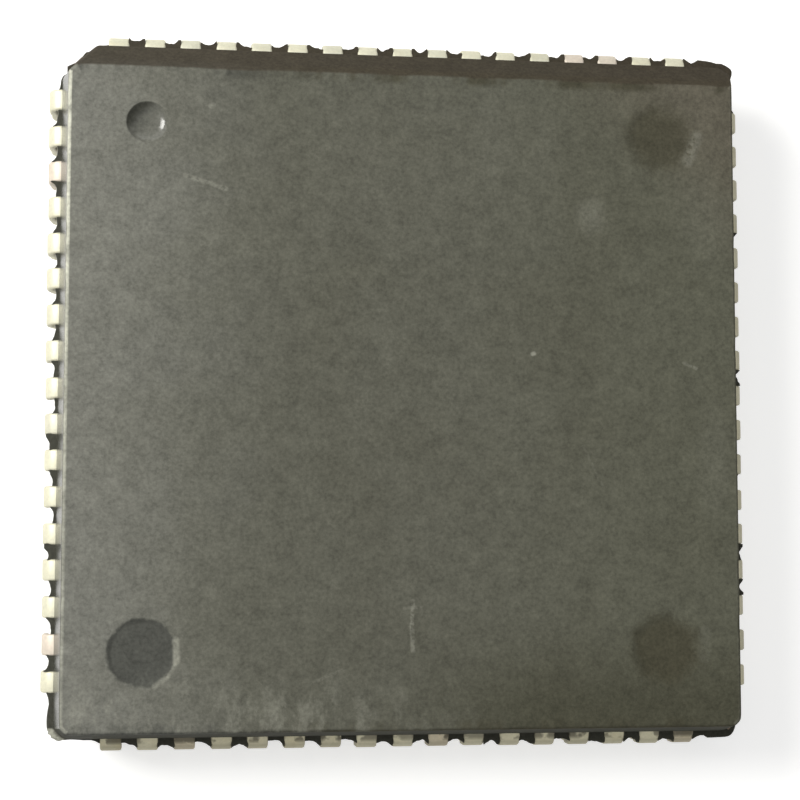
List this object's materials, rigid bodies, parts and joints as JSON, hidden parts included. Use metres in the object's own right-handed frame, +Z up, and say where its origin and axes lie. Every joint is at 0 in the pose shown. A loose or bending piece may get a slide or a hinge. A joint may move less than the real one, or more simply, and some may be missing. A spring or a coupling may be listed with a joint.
{
  "type": "plastic leaded chip carrier",
  "caption": "Square moulded chip carrier with J-shaped tin-plated leads on every side, a bevelled first side, a cut corner and an index dimple; it solders to a board or fits a socket.",
  "frame": {"origin": "middle of the seating plane, under the centre of the carrier, where the curled feet touch the board", "axes": "+Z up out of the board through the top face; +Y towards the bevelled side that carries the first lead; +X to the right of that side as the top is read, so the cut corner lies at -X +Y"},
  "size_m": [0.0252, 0.0252, 0.0044],
  "materials": {
    "mould_resin": "dark olive-grey filled epoxy, matte as moulded, dusty and scuffed",
    "tin_plate": "matte tin plate over copper alloy, slightly dulled",
    "copper_alloy": "rolled copper alloy sheet",
    "silver_adhesive": "cured silver-filled adhesive",
    "silicon": "polished silicon",
    "gold_wire": "drawn gold wire"
  },
  "bodies": {
    "root": {"molded_body": "mould_resin", "leads_north": "tin_plate", "leads_east": "tin_plate", "leads_south": "tin_plate", "leads_west": "tin_plate", "die_pad": "copper_alloy", "die_attach": "silver_adhesive", "silicon_die": "silicon", "bond_wires": "gold_wire"}
  },
  "joints": []
}
